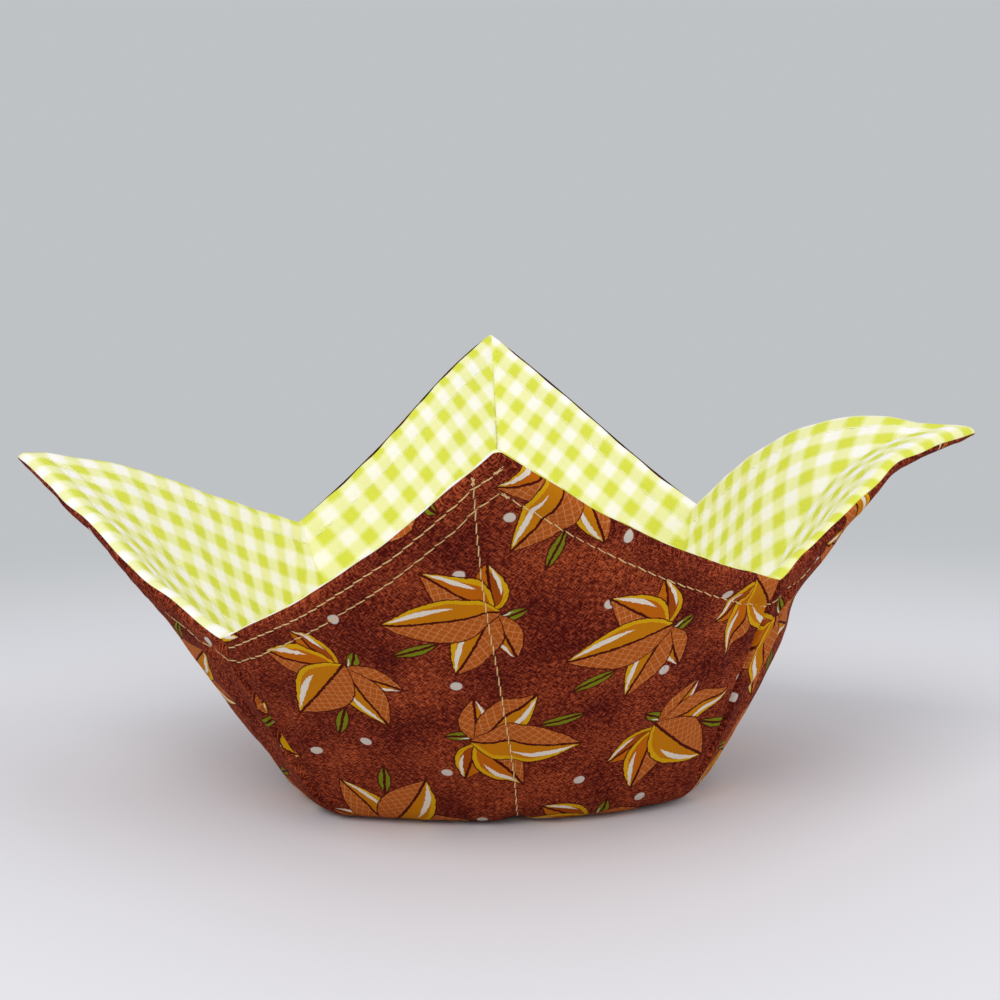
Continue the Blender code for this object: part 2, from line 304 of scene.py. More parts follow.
def face_height(a, b, side):
    """Height of a fabric's showing face off the middle surface, outside for side 1 and inside for -1."""
    inwards = from_edge(a, b)
    roll = np.sqrt(1 - (1 - np.clip(inwards / EDGE_ROLL, 0, 1)) ** 2)
    seed = 20 + 7 * side
    share = 1 if side > 0 else LINING_SHARE
    loft = np.ones_like(a)
    for beside, (press, half_width) in ((beside_topstitch, TOPSTITCH_PRESS), (beside_closing, CLOSING_PRESS),
                                        (beside_quilting, QUILTING_PRESS), (beside_dart, DART_PRESS)):
        loft = loft * (1 - share * press * channel(beside(a, b), half_width))
    along_edge = np.where(np.abs(a) > np.abs(b), b, a)
    along_row = np.where(np.abs(a - b) < np.abs(a + b), a + b, a - b) / math.sqrt(2)
    spacing, drift, reach = TOPSTITCH_PUCKERS
    pucker = np.sin(2 * math.pi * along_edge / spacing + PUCKER_DRIFT * ripples(a, b, drift, seed))
    pucker = pucker * channel(beside_topstitch(a, b), reach)
    spacing, drift, reach = QUILTING_PUCKERS
    tuck = np.sin(2 * math.pi * along_row / spacing + PUCKER_DRIFT * ripples(a, b, drift, seed + 1))
    tuck = tuck * channel(beside_quilting(a, b), reach)
    swell, bump = PUFF_LENGTHS
    puff = PUFF * ripples(a, b, swell, seed + 2) + PUFF / 2 * ripples(a, b, bump, seed + 3)
    puff = puff * ease(np.minimum(beside_topstitch(a, b), beside_quilting(a, b)) / PUFF_GAP)
    off_dart = np.minimum(np.abs(a), np.abs(b))
    stray = DRAG_DRIFT * ripples(a, b, DRAG_DRIFT_LENGTH, seed + 4)
    fan = np.sin(2 * math.pi * inwards / DRAG_SPACING + off_dart / DRAG_SLANT + stray)
    strip = channel(np.abs(off_dart - DRAG_MIDDLE), DRAG_HALF_WIDTH)
    fan = DRAG * fan * strip * ease(inwards / DRAG_FROM_EDGE)
    puff = puff + fan * (1 - ease((inwards - DRAG_FADE) / DRAG_FADE))
    start = SEAM_GAP + side * seam_shift(a, b)
    full = SEAM_GAP + PAD * loft + FABRIC + puff + PUCKER * (pucker + tuck)
    return start + (full - start) * roll


def cloth_thickness(a, b):
    """A fabric's thickness, which thins to its turned edge."""
    roll = np.clip(from_edge(a, b) / EDGE_ROLL, 0, 1)
    return FABRIC * (0.3 + 0.7 * ease(2 * roll))


def back_height(a, b, side):
    return face_height(a, b, side) - cloth_thickness(a, b)


def folded(a, b):
    """Place on the middle surface with its gentle waves, and the outward normal."""
    n = FOLD_NUDGE
    along_a = shaped(a + n, b) - shaped(a - n, b)
    along_b = shaped(a, b + n) - shaped(a, b - n)
    outward = np.cross(along_b, along_a)
    outward /= np.linalg.norm(outward, axis=-1, keepdims=True)
    on_wall = ease((np.hypot(a, b) - FLAP_WAVE_FROM) / FLAP_WAVE_GROWTH)
    at_edge = 1 - ease(from_edge(a, b) / EDGE_WAVE_REACH)
    wave = FLAP_WAVE * ripples(a, b, FLAP_WAVE_LENGTH, 3) * on_wall
    wave = wave + EDGE_WAVE * ripples(a, b, EDGE_WAVE_LENGTH, 5) * at_edge
    place = shaped(a, b) + outward * wave[..., None]
    # The base lies flat on the ground instead of sinking in
    showing = place[..., 2] + outward[..., 2] * face_height(a, b, 1)
    place[..., 2] -= np.minimum(showing, 0)
    return place, outward


# Widths of the grid's cells against each other: the first one and how much each next one grows, counted from
# the edge and from the line of the darts, and the widest
EDGE_CELLS = (0.14, 0.10)
DART_CELLS = (0.22, 0.14)
WIDEST_CELL = 1.5


def graded(u):
    """Grid lines from -1 to 1 to the square, packed at its edge and along the darts."""
    lines = CLOTH_CELLS // 2
    count = np.arange(lines)
    by_edge = EDGE_CELLS[0] + EDGE_CELLS[1] * count
    by_dart = DART_CELLS[0] + DART_CELLS[1] * (lines - 1 - count)
    spacing = np.minimum(np.minimum(by_edge, by_dart), WIDEST_CELL)
    reach = np.concatenate([[0], np.cumsum(spacing)])
    reach = HALF * reach / reach[-1]
    return np.sign(u) * (HALF - np.interp((1 - np.abs(u)) * lines, np.arange(lines + 1), reach))


def round_corner(a, b):
    """Draws the square's sharp corner in to its round one."""
    inner = HALF - CORNER_ROUND
    u = np.clip((np.abs(a) - inner) / CORNER_ROUND, 0, 1)
    v = np.clip((np.abs(b) - inner) / CORNER_ROUND, 0, 1)
    round_a = inner + CORNER_ROUND * u * np.sqrt(1 - v * v / 2)
    round_b = inner + CORNER_ROUND * v * np.sqrt(1 - u * u / 2)
    return np.where(u > 0, np.copysign(round_a, a), a), np.where(v > 0, np.copysign(round_b, b), b)


def add_cut_map(mesh, a, b):
    """A UV map that holds each corner's place on the flat cut cloth in metres, split along the darts."""
    loop_vert = np.zeros(len(mesh.loops), int)
    mesh.loops.foreach_get("vertex_index", loop_vert)
    loop_count = np.zeros(len(mesh.polygons), int)
    mesh.polygons.foreach_get("loop_total", loop_count)
    face = np.repeat(np.arange(len(loop_count)), loop_count)
    corner_a = a[loop_vert]
    corner_b = b[loop_vert]
    middle_a = (np.bincount(face, corner_a) / loop_count)[face]
    middle_b = (np.bincount(face, corner_b) / loop_count)[face]
    # Each corner is read a hair inside its own face, so that the two sides of a dart come out apart
    hair = 0.001
    inside_a = corner_a + (middle_a - corner_a) * hair
    inside_b = corner_b + (middle_b - corner_b) * hair
    flat_place = np.stack(cut_flat(inside_a, inside_b), axis=-1)
    cut_map = mesh.uv_layers.new(name="cut")
    cut_map.data.foreach_set("uv", flat_place.astype(np.float32).ravel())


def put_in_scene(name, data):
    holder = bpy.data.objects.new(name, data)
    bpy.context.scene.collection.objects.link(holder)
    return holder


def cloth_layer(name, cells, place_line, low, high, side):
    """A closed layer of cloth: a square grid with a second side, folded up between two heights."""
    layer = bmesh.new()
    bmesh.ops.create_grid(layer, x_segments=cells, y_segments=cells, size=1.0)
    raised = bmesh.ops.extrude_face_region(layer, geom=layer.faces[:], use_keep_orig=True)["geom"]
    upper = {item for item in raised if isinstance(item, bmesh.types.BMVert)}
    grid = np.array([vert.co.xy for vert in layer.verts])
    is_upper = np.array([vert in upper for vert in layer.verts])
    a, b = round_corner(place_line(grid[:, 0]), place_line(grid[:, 1]))
    place, outward = folded(*(drawn_in(a, b) if side < 0 else (a, b)))
    height = np.where(is_upper, high(a, b, side), low(a, b, side))
    place = place + outward * (height * side)[:, None]
    for vert, co in zip(layer.verts, place):
        vert.co = co
    bmesh.ops.recalc_face_normals(layer, faces=layer.faces[:])
    mesh = bpy.data.meshes.new(name)
    layer.to_mesh(mesh)
    layer.free()
    mesh.shade_smooth()
    add_cut_map(mesh, a, b)
    return put_in_scene(name, mesh)


outer_cloth = cloth_layer("outer_cloth", CLOTH_CELLS, graded, back_height, face_height, 1)


def linear(code):
    """An sRGB hex colour to Blender's linear values."""
    parts = [int(code[i:i + 2], 16) / 255 for i in (1, 3, 5)]
    return tuple(c / 12.92 if c <= 0.04045 else ((c + 0.055) / 1.055) ** 2.4 for c in parts) + (1.0,)


# A Mix node's colours are its inputs 6 and 7 and its output 2, and its numbers the inputs 2 and 3
def node(tree, kind, inputs=(), **settings):
    """Adds a node with its settings, and sets or links its inputs, given in order or by name."""
    made = tree.nodes.new(kind)
    for key, value in settings.items():
        setattr(made, key, value)
    for key, value in inputs.items() if isinstance(inputs, dict) else enumerate(inputs):
        if isinstance(value, bpy.types.Node):
            value = value.outputs[0]
        if isinstance(value, bpy.types.NodeSocket):
            tree.links.new(value, made.inputs[key])
        else:
            made.inputs[key].default_value = value
    return made


def new_finish(name):
    """A material with nothing in it yet, and its node tree."""
    finish = bpy.data.materials.new(name)
    finish.use_nodes = True
    finish.node_tree.nodes.clear()
    return finish, finish.node_tree


# Sizes in the print, in millimetres
LEAF_RIM = 1.5
LEAF_OUTLINE = 0.36
LEAF_SOFT_EDGE = 0.12
MIDRIB_HALF_WIDTH = 0.34
HATCH_SPACING = 1 / 0.43
HATCH_LEANS = (-0.8, 1.3)
HATCH_STROKE = (0.15, 0.07)     # where a stroke starts and is full, as shares of the spacing
HATCH_STRENGTH = 0.75
LEAF_FULLNESS = 0.82            # under 1 brings the leaf's widest place nearer its base
LIGHT_ASIDE = 0.55              # the stroke of light, as shares of the leaf's half width and length
LIGHT_WIDTH = 0.11
LIGHT_SPAN = (0.36, 0.93)
DOT_SPACING = 24.0
DOT_RADIUS = (1.45, 1.2)        # of its soft edge and of its full colour
SPRIG_CELL = 39.0
SPRIG_SHIFT = -4.0              # a sprig strays by up to half of this each way
SPRIG_SEED = 4.0                # picks how the sprigs are turned and shifted
TREMBLE = (0.7, 0.7, 0.0)
YARN_SPACING = 0.5              # about twice the real one, because finer yarns would not show


def leaf_group():
    """One printed leaf: an oval with two points, two colours, a dark midrib and a pale stroke of light."""
    leaf = bpy.data.node_groups.new("printed_leaf", "ShaderNodeTree")
    for name, kind in (("Place", "Vector"), ("Base", "Vector"), ("Turn", "Float"), ("Length", "Float"),
                       ("Width", "Float"), ("Plain Half", "Color"), ("Hatched Half", "Color"),
                       ("Hatching", "Color"), ("Edge", "Color"), ("Under", "Color")):
        leaf.interface.new_socket(name, in_out="INPUT", socket_type="NodeSocket" + kind)
    leaf.interface.new_socket("Colour", in_out="OUTPUT", socket_type="NodeSocketColor")
    given = node(leaf, "NodeGroupInput").outputs
    moved = node(leaf, "ShaderNodeVectorMath", (given["Place"], given["Base"]), operation="SUBTRACT")
    turned = node(leaf, "ShaderNodeVectorRotate", {"Vector": moved, "Angle": given["Turn"]},
                  rotation_type="Z_AXIS")
    split = node(leaf, "ShaderNodeSeparateXYZ", (turned,)).outputs
    # Half the leaf's width along it: a sine whose widest place is a little nearer the base
    along = node(leaf, "ShaderNodeMath", (split["Y"], given["Length"]), operation="DIVIDE")
    ahead = node(leaf, "ShaderNodeMath", (along, 0.0), operation="MAXIMUM")
    early = node(leaf, "ShaderNodeMath", (ahead, LEAF_FULLNESS), operation="POWER")
    half_turn = node(leaf, "ShaderNodeMath", (early, math.pi), operation="MULTIPLY")
    bulge = node(leaf, "ShaderNodeMath", (half_turn,), operation="SINE")
    half_width = node(leaf, "ShaderNodeMath", (bulge, given["Width"]), operation="MULTIPLY")
    aside = node(leaf, "ShaderNodeMath", (split["X"],), operation="ABSOLUTE")
    inside = node(leaf, "ShaderNodeMath", (half_width, aside), operation="SUBTRACT")
    right_half = node(leaf, "ShaderNodeMath", (split["X"], 0.0), operation="GREATER_THAN")
    # Thin strokes cross on the hatched half, a little over 2 mm apart
    strokes = []
    for lean in HATCH_LEANS:
        slant = node(leaf, "ShaderNodeMath", (aside, lean, split["Y"]), operation="MULTIPLY_ADD")
        repeat = node(leaf, "ShaderNodeMath", (slant, 1 / HATCH_SPACING), operation="MULTIPLY")
        stroke = node(leaf, "ShaderNodeMath", (repeat,), operation="FRACT")
        strokes.append(node(leaf, "ShaderNodeMapRange",
                            {"Value": stroke, "From Min": HATCH_STROKE[0], "From Max": HATCH_STROKE[1],
                             "To Max": HATCH_STRENGTH}))
    crossed = node(leaf, "ShaderNodeMath", strokes, operation="MAXIMUM")
    hatched = node(leaf, "ShaderNodeMix", {0: crossed, 6: given["Hatched Half"], 7: given["Hatching"]},
                   data_type="RGBA")
    left_half = node(leaf, "ShaderNodeMath", (1.0, right_half), operation="SUBTRACT")
    rim_width = node(leaf, "ShaderNodeMath", (left_half, LEAF_RIM), operation="MULTIPLY")
    in_rim = node(leaf, "ShaderNodeMath", (inside, rim_width), operation="LESS_THAN")
    # The stroke of light lies along the middle of the plain half, towards the tip
    off_light = node(leaf, "ShaderNodeMath", (half_width, LIGHT_ASIDE, split["X"]), operation="MULTIPLY_ADD")
    off_light = node(leaf, "ShaderNodeMath", (off_light,), operation="ABSOLUTE")
    light_along = node(leaf, "ShaderNodeMapRange",
                       {"Value": along, "From Min": LIGHT_SPAN[0], "From Max": LIGHT_SPAN[1],
                        "To Max": math.pi})
    light_swell = node(leaf, "ShaderNodeMath", (light_along,), operation="SINE")
    light_width = node(leaf, "ShaderNodeMath", (light_swell, given["Width"]), operation="MULTIPLY")
    light_width = node(leaf, "ShaderNodeMath", (light_width, LIGHT_WIDTH), operation="MULTIPLY")
    in_light = node(leaf, "ShaderNodeMath", (off_light, light_width), operation="LESS_THAN")
    in_midrib = node(leaf, "ShaderNodeMath", (aside, MIDRIB_HALF_WIDTH), operation="LESS_THAN")
    in_outline = node(leaf, "ShaderNodeMath", (inside, LEAF_OUTLINE), operation="LESS_THAN")
    # Each colour is printed over the ones before it
    colour = given["Plain Half"]
    for where, ink in ((right_half, hatched.outputs[2]), (in_rim, given["Edge"]),
                       (in_light, linear("#ddd3c4")), (in_midrib, linear("#4c1208")),
                       (in_outline, linear("#52160b"))):
        printed = node(leaf, "ShaderNodeMix", {0: where, 6: colour, 7: ink}, data_type="RGBA")
        colour = printed.outputs[2]
    in_leaf = node(leaf, "ShaderNodeMapRange",
                   {"Value": inside, "From Min": -LEAF_SOFT_EDGE, "From Max": LEAF_SOFT_EDGE})
    laid = node(leaf, "ShaderNodeMix", {0: in_leaf, 6: given["Under"], 7: colour}, data_type="RGBA")
    node(leaf, "NodeGroupOutput", {"Colour": laid.outputs[2]})
    return leaf


def cut_millimetres(tree):
    """Place on the flat cut cloth, in millimetres."""
    cut = node(tree, "ShaderNodeUVMap", uv_map="cut")
    return node(tree, "ShaderNodeVectorMath", (cut, (1000.0, 1000.0, 1000.0)), operation="MULTIPLY")


def trembling(tree, millimetres, scale, detail):
    """The same place with a small tremble, so that no line of a pattern runs quite straight."""
    wobble = node(tree, "ShaderNodeTexNoise", {"Vector": millimetres, "Scale": scale, "Detail": detail})
    shake = node(tree, "ShaderNodeVectorMath", (wobble.outputs["Color"], (0.5, 0.5, 0.5)),
                 operation="SUBTRACT")
    return node(tree, "ShaderNodeVectorMath", (shake, TREMBLE, millimetres),
                operation="MULTIPLY_ADD")


def weave(tree, millimetres):
    """Plain weave height from 0 to 1, over and under the yarns."""
    split = node(tree, "ShaderNodeSeparateXYZ", (millimetres,)).outputs
    waves = []
    for axis in ("X", "Y"):
        turns = node(tree, "ShaderNodeMath", (split[axis], math.pi / YARN_SPACING), operation="MULTIPLY")
        waves.append(node(tree, "ShaderNodeMath", (turns,), operation="SINE"))
    crossed = node(tree, "ShaderNodeMath", waves, operation="MULTIPLY")
    return node(tree, "ShaderNodeMath", (crossed, 0.5, 0.5), operation="MULTIPLY_ADD")


def woven_surface(tree, millimetres, yarns, colour, shade, relief_strength):
    """A fabric's colour with painted shade between its yarns and painted light on them, and the relief of
    yarns and fibres.
    """
    # Painted shade and light: the colour is multiplied down where the yarns dip and a little up where they
    # lie on top
    yarn_shading = node(tree, "ShaderNodeMapRange", {"Value": yarns, "To Min": shade[0], "To Max": shade[1]})
    shaded = node(tree, "ShaderNodeMix", {0: 1.0, 6: colour, 7: yarn_shading}, data_type="RGBA",
                  blend_type="MULTIPLY")
    fibres = node(tree, "ShaderNodeTexNoise", {"Vector": millimetres, "Scale": 2.4, "Detail": 3.0})
    relief = node(tree, "ShaderNodeMath", (fibres, 0.8, yarns), operation="MULTIPLY_ADD")
    bump = node(tree, "ShaderNodeBump",
                {"Height": relief, "Strength": relief_strength, "Distance": 0.00012})
    return shaded.outputs[2], bump


def printed_cotton():
    """Quilting cotton, plain weave, screen printed: a mottled maroon ground with sprigs of leaves and dots.

    The ground is printed as coarse crossing threads, so it looks hand woven, and it is matt all over.
    """
    finish, tree = new_finish("printed_cotton")
    millimetres = cut_millimetres(tree)

    # Ground: light threads, about 0.25 mm wide, crossing over dark ones, and patches of maroon and rust
    threads = []
    for stretch in ((4.0, 0.62, 1.0), (0.62, 4.0, 1.0)):
        drawn = node(tree, "ShaderNodeVectorMath", (millimetres, stretch), operation="MULTIPLY")
        threads.append(node(tree, "ShaderNodeTexNoise", {"Vector": drawn, "Scale": 1.0, "Detail": 1.0}))
    crossing = node(tree, "ShaderNodeMath", threads, operation="MAXIMUM")
    patches = node(tree, "ShaderNodeTexNoise", {"Vector": millimetres, "Scale": 0.060, "Detail": 4.0})
    patch = node(tree, "ShaderNodeMapRange", {"Value": patches, "From Min": 0.33, "From Max": 0.67})
    brought_up = node(tree, "ShaderNodeMath", (patch, 0.06, crossing), operation="MULTIPLY_ADD")
    lightness = node(tree, "ShaderNodeMapRange", {"Value": brought_up, "From Min": 0.55, "From Max": 0.71})
    dark = node(tree, "ShaderNodeMix", {0: patch, 6: linear("#440906"), 7: linear("#591408")},
                data_type="RGBA")
    light = node(tree, "ShaderNodeMix", {0: patch, 6: linear("#9a4028"), 7: linear("#b95730")},
                 data_type="RGBA")
    ground = node(tree, "ShaderNodeMix", {0: lightness, 6: dark.outputs[2], 7: light.outputs[2]},
                  data_type="RGBA")

    # Dots, scattered over the ground
    dots = node(tree, "ShaderNodeTexVoronoi",
                {"Vector": millimetres, "Scale": 1 / DOT_SPACING, "Randomness": 0.75},
                voronoi_dimensions="2D")
    off_dot = node(tree, "ShaderNodeMath", (dots.outputs["Distance"], DOT_SPACING), operation="MULTIPLY")
    dot = node(tree, "ShaderNodeMapRange",
               {"Value": off_dot, "From Min": DOT_RADIUS[0], "From Max": DOT_RADIUS[1]})
    dotted = node(tree, "ShaderNodeMix", {0: dot, 6: ground.outputs[2], 7: linear("#c9bdb1")},
                  data_type="RGBA")

    # Sprigs, one to a cell of a half drop repeat, each turned and shifted at random
    trembled = trembling(tree, millimetres, 0.9, 2.0)
    split = node(tree, "ShaderNodeSeparateXYZ", (trembled,)).outputs
    columns = node(tree, "ShaderNodeMath", (split["X"], SPRIG_CELL), operation="DIVIDE")
    column = node(tree, "ShaderNodeMath", (columns,), operation="FLOOR")
    odd = node(tree, "ShaderNodeMath", (column, 2.0), operation="FLOORED_MODULO")
    dropped = node(tree, "ShaderNodeMath", (odd, SPRIG_CELL / 2, split["Y"]), operation="MULTIPLY_ADD")
    rows = node(tree, "ShaderNodeMath", (dropped, SPRIG_CELL), operation="DIVIDE")
    row = node(tree, "ShaderNodeMath", (rows,), operation="FLOOR")
    in_cell = []
    for place, number in ((split["X"], column), (dropped, row)):
        middle = node(tree, "ShaderNodeMath", (number, SPRIG_CELL, SPRIG_CELL / 2), operation="MULTIPLY_ADD")
        in_cell.append(node(tree, "ShaderNodeMath", (place, middle), operation="SUBTRACT"))
    cell_place = node(tree, "ShaderNodeCombineXYZ", in_cell)
    cell_name = node(tree, "ShaderNodeCombineXYZ", (column, row, SPRIG_SEED))
    chance = node(tree, "ShaderNodeTexWhiteNoise", {"Vector": cell_name}, noise_dimensions="3D")
    shift = node(tree, "ShaderNodeVectorMath", (chance.outputs["Color"], (0.5, 0.5, 0.5)),
                 operation="SUBTRACT")
    shifted = node(tree, "ShaderNodeVectorMath", (shift, (SPRIG_SHIFT, SPRIG_SHIFT, 0.0), cell_place),
                   operation="MULTIPLY_ADD")
    spin = node(tree, "ShaderNodeMath", (chance.outputs["Value"], 2 * math.pi), operation="MULTIPLY")
    sprig = node(tree, "ShaderNodeVectorRotate", {"Vector": shifted, "Angle": spin},
                 rotation_type="Z_AXIS")
    ochre = "#bd7408"
    gold = "#cf9c0c"
    brown = "#9a4508"
    orange = "#b86008"
    clay = "#ac561c"
    pale_clay = "#cf8a54"
    olive = "#747a14"
    # Each leaf of a sprig: where its base is, its turn in degrees, its length and half width, and its colours
    leaves = (
        ((0.5, -17.0, 0.0), -14, 9.0, 1.7, olive, olive, olive, olive),
        ((0.0, -9.0, 0.0), 98, 15.0, 4.3, brown, orange, ochre, gold),
        ((0.0, -9.0, 0.0), -98, 15.0, 4.3, ochre, clay, pale_clay, brown),
        ((0.0, -9.5, 0.0), 52, 21.0, 5.6, orange, clay, pale_clay, gold),
        ((0.0, -9.5, 0.0), -52, 21.0, 5.6, ochre, clay, pale_clay, gold),
        ((0.0, -11.0, 0.0), 3, 27.0, 6.9, ochre, clay, pale_clay, gold),
    )
    group = leaf_group()
    colour = dotted.outputs[2]
    for base, turn, length, width, plain, hatched, hatching, edge in leaves:
        leaf = node(tree, "ShaderNodeGroup",
                    {"Place": sprig, "Base": base, "Turn": math.radians(-turn), "Length": length,
                     "Width": width, "Plain Half": linear(plain), "Hatched Half": linear(hatched),
                     "Hatching": linear(hatching), "Edge": linear(edge), "Under": colour},
                    node_tree=group)
        colour = leaf.outputs["Colour"]

    # The yarns show through the print, as relief and as painted shade between them and painted light on them
    yarns = weave(tree, millimetres)
    shaded, bump = woven_surface(tree, millimetres, yarns, colour, (0.95, 1.04), 0.5)
    cloth = node(tree, "ShaderNodeBsdfPrincipled", {"Base Color": shaded, "Roughness": 0.9,
                                                    "Specular IOR Level": 0.06, "Normal": bump})
    node(tree, "ShaderNodeOutputMaterial", (cloth,))
    return finish


outer_cloth.data.materials.append(printed_cotton())
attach(outer_cloth, "root")
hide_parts("outer_fabric")

# The lining: gingham, woven from white and lime yarns in bands, so that where lime crosses lime a check is
# full coloured and where it crosses white a half tone. Cut, darted and sewn as the outer square is.
lining_cloth = cloth_layer("lining_cloth", CLOTH_CELLS, graded, back_height, face_height, -1)
GINGHAM_REPEAT = 9.3        # millimetres, as are the two offsets
GINGHAM_OFFSETS = (("X", -4.2), ("Y", 0.5))
BAND_BLUR = 0.48            # how soft the edge of a band is, as a share of its wave


def gingham():
    """Yarn dyed cotton, plain weave, soft and matt: lime and white bands of equal width both ways."""
    finish, tree = new_finish("gingham_cotton")
    millimetres = cut_millimetres(tree)
    trembled = trembling(tree, millimetres, 1.3, 1.0)
    split = node(tree, "ShaderNodeSeparateXYZ", (trembled,)).outputs
    bands = []
    for axis, offset in GINGHAM_OFFSETS:
        turns = node(tree, "ShaderNodeMath", (split[axis], offset), operation="ADD")
        turns = node(tree, "ShaderNodeMath", (turns, 2 * math.pi / GINGHAM_REPEAT), operation="MULTIPLY")
        wave = node(tree, "ShaderNodeMath", (turns,), operation="COSINE")
        bands.append(node(tree, "ShaderNodeMapRange",
                          {"Value": wave, "From Min": -BAND_BLUR, "From Max": BAND_BLUR}))
    # The yarns that lie on top show their colour a little more than those under them
    yarns = weave(tree, millimetres)
    over = node(tree, "ShaderNodeMapRange", {"Value": yarns, "To Min": 0.40, "To Max": 0.60})
    dyed = node(tree, "ShaderNodeMix", {0: over, 2: bands[0], 3: bands[1]}, data_type="FLOAT")
    pale = node(tree, "ShaderNodeMapRange", {"Value": dyed, "From Min": 0.0, "From Max": 0.5})
    full = node(tree, "ShaderNodeMapRange", {"Value": dyed, "From Min": 0.5, "From Max": 1.0})
    half_tone = node(tree, "ShaderNodeMix", {0: pale, 6: linear("#fbf8f0"), 7: linear("#f0f0b0")},
                     data_type="RGBA")
    lime = node(tree, "ShaderNodeMix", {0: full, 6: half_tone.outputs[2], 7: linear("#dadf4e")},
                data_type="RGBA")
    # The yarns' relief is also painted in: shade between them and light on them
    shaded, bump = woven_surface(tree, millimetres, yarns, lime.outputs[2], (0.96, 1.02), 0.45)
    cloth = node(tree, "ShaderNodeBsdfPrincipled", {"Base Color": shaded, "Roughness": 0.9,
                                                    "Specular IOR Level": 0.15, "Sheen Weight": 0.03,
                                                    "Sheen Roughness": 0.5, "Normal": bump})
    node(tree, "ShaderNodeOutputMaterial", (cloth,))
    return finish


lining_cloth.data.materials.append(gingham())
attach(lining_cloth, "root")
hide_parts("lining_fabric")

# The battings: a sheet of needled cotton wadding behind each fabric, quilted to it before the squares are
# joined. They stop at the seam, and are pressed flat under the sewn rows.
BATTING_CELLS = 110
WADDING_SLACK = 0.00008     # room between the wadding and what lies against it


def inset_line(u):
    return u * (HALF - EDGE_ROLL)


def wadding_low(a, b, side):
    return np.full_like(a, WADDING_SLACK)


def wadding_high(a, b, side):
    return np.maximum(back_height(a, b, side) - WADDING_SLACK, 2 * WADDING_SLACK)


def cotton_wadding():
    """Needled cotton wadding: off white, very matt, with fibres matted at random and stray seed flecks."""
    finish, tree = new_finish("cotton_wadding")
    place = node(tree, "ShaderNodeTexCoord").outputs["Object"]
    fibres = node(tree, "ShaderNodeTexNoise", {"Vector": place, "Scale": 1500.0, "Detail": 4.0})
    flecks = node(tree, "ShaderNodeTexNoise", {"Vector": place, "Scale": 600.0, "Detail": 1.0})
    fleck = node(tree, "ShaderNodeMapRange", {"Value": flecks, "From Min": 0.70, "From Max": 0.76})
    colour = node(tree, "ShaderNodeMix", {0: fleck, 6: linear("#e9e3d3"), 7: linear("#a8916b")},
                  data_type="RGBA")
    bump = node(tree, "ShaderNodeBump", {"Height": fibres, "Strength": 0.8, "Distance": 0.0003})
    wool = node(tree, "ShaderNodeBsdfPrincipled", {"Base Color": colour.outputs[2], "Roughness": 0.97,
                                                   "Specular IOR Level": 0.2, "Sheen Weight": 0.3,
                                                   "Normal": bump})
    node(tree, "ShaderNodeOutputMaterial", (wool,))
    return finish


wadding = cotton_wadding()
FACES = (("outer", 1), ("lining", -1))
for face, side in FACES:
    batting = cloth_layer(face + "_wadding", BATTING_CELLS, inset_line, wadding_low, wadding_high, side)
    batting.data.materials.append(wadding)
    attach(batting, "root")
    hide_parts(face + "_batting")

# The sewn rows: lockstitch in thick cotton thread, pale gold outside and pale lime inside. A stitch lies on
# the cloth for a little over 3 mm and goes down through all the layers at both ends.
STITCH_PITCH = 0.0033
STITCH_SPAN = 0.0033        # from hole to hole, so that a stitch ends where the next one starts
STITCH_SLANT = 0.00032      # from one side of the row to the other, over a stitch
PITCH_ERROR = 0.00015       # how far a stitch is out of place along the row
SIDE_ERROR = 0.00006        # and across it
ROUTE_NUDGE = 0.0003        # how far apart places are read to find which way the row runs
THREAD_WIDTH = 0.00032
THREAD_HEIGHT = 0.00030
THREAD_LIFT = 0.00009
THREAD_DIP = 0.00017        # how far a stitch's ends go down into the cloth
THREAD_SEAT = {1: 0.00002, -1: -0.00007}    # the holes' height over each fabric's face
THREAD_BLUNTNESS = 0.6      # 1 leaves a stitch's ends round, and less makes them blunt
LOCK_TURNS = (-0.35, 0.35)  # how the two locking stitches are turned, in radians
LOCK_LENGTH = 0.7           # their length and height against the other stitches'
LOCK_LIFT = 1.5


def cotton_thread(name, colour, shade):
    """Mercerised cotton thread: two plies whose twist shows as a slant of painted shade along their grooves,
    with a slight shine.
    """
    finish, tree = new_finish(name)
    place = node(tree, "ShaderNodeTexCoord").outputs["Object"]
    plies = node(tree, "ShaderNodeTexWave", {"Vector": place, "Scale": 900.0, "Distortion": 1.5},
                 bands_direction="DIAGONAL")
    strands = node(tree, "ShaderNodeTexNoise", {"Vector": place, "Scale": 350.0, "Detail": 2.0})
    # Painted shade in the grooves between the plies, varied by the strands' random tone
    blend = node(tree, "ShaderNodeMath", (plies.outputs["Fac"], strands), operation="MULTIPLY")
    twist_shaded = node(tree, "ShaderNodeMix", {0: blend, 6: linear(colour), 7: linear(shade)}, data_type="RGBA")
    bump = node(tree, "ShaderNodeBump",
                {"Height": plies.outputs["Fac"], "Strength": 0.5, "Distance": 0.00006})
    thread = node(tree, "ShaderNodeBsdfPrincipled", {"Base Color": twist_shaded.outputs[2], "Roughness": 0.5,
                                                     "Sheen Weight": 0.15, "Normal": bump})
    node(tree, "ShaderNodeOutputMaterial", (thread,))
    return finish


outer_thread = cotton_thread("pale_gold_thread", "#e8c684", "#bf9350")
lining_thread = cotton_thread("pale_lime_thread", "#f6f6d0", "#dfe0a4")


def on_cloth(a, b, side, lift):
    """Places this far off a fabric's showing face, and which way the face looks there."""
    place, outward = folded(a, b)
    height = face_height(a, b, side) + lift
    return place + outward * (height * side)[:, None], outward * side


one_stitch = bpy.data.meshes.new("one_stitch")      # each stitch passes through it on the way to its row


